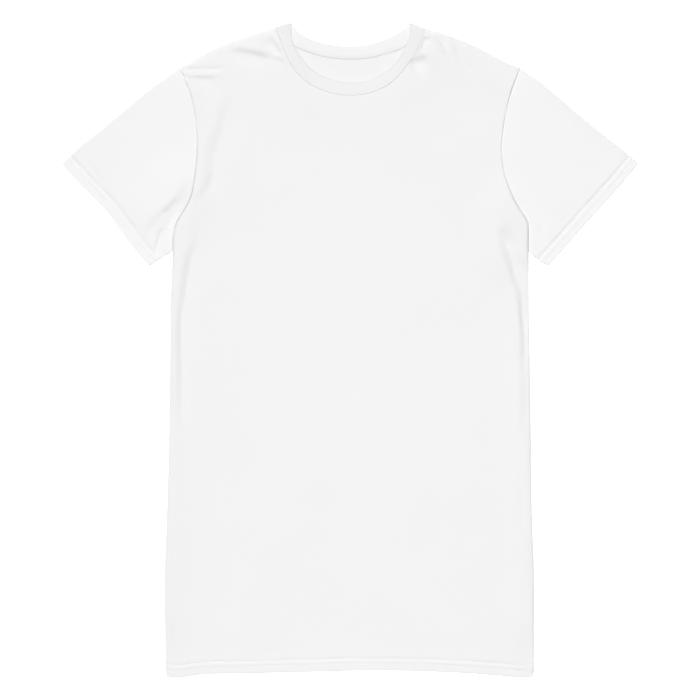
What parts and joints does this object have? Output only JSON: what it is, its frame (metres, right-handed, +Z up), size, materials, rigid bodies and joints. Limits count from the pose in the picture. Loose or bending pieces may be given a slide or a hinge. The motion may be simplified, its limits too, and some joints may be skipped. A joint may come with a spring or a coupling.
{
  "type": "t-shirt dress",
  "caption": "Straight knee-length t-shirt dress with short set-in sleeves, a round ribbed neck and turned-up hems, laid flat on its back.",
  "frame": {"origin": "middle of the laid dress's length and width, on the surface it lies on", "axes": "+Y towards the neck, +X towards the sleeve on the right as seen from above the front, +Z up off the surface"},
  "size_m": [0.812, 0.922, 0.0072],
  "materials": {
    "jersey": "white single jersey, matt with a faint soft sheen",
    "rib": "white ribbed knit, matt"
  },
  "bodies": {
    "root": {"front_panel": "jersey", "back_panel": "jersey", "left_sleeve": "jersey", "right_sleeve": "jersey", "neckband": "rib"}
  },
  "joints": []
}
